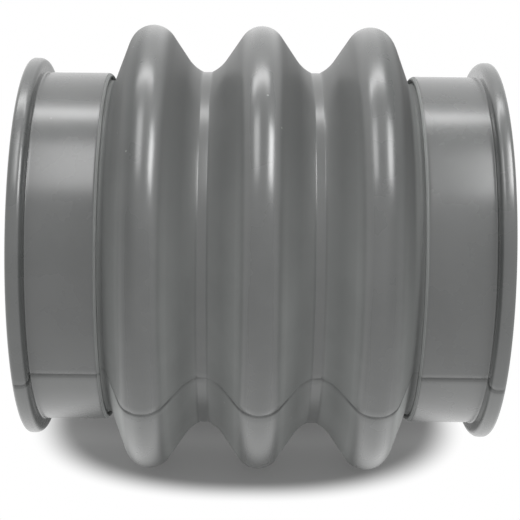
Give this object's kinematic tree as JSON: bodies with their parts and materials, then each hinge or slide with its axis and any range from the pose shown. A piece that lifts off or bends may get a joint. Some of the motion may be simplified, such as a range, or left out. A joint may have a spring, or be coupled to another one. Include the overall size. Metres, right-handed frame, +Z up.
{
  "type": "rubber bellows boot",
  "caption": "Moulded rubber bellows boot: rounded convolutions between plain clamp cuffs with beaded ends, open right through.",
  "frame": {"origin": "centre of the lower end face, on the surface that the boot stands on", "axes": "+Z up along the bore from one cuff to the other; the mould's parting plane is the XZ plane, so its fine line, which belongs to the finish, runs along the boot at +X and at -X"},
  "size_m": [0.0996, 0.0996, 0.1022],
  "materials": {
    "rubber": "satin moulded rubber, dark grey, with a slight bloom and a thin flash line where the mould parts"
  },
  "bodies": {
    "root": {"bellows_boot": "rubber"}
  },
  "joints": []
}
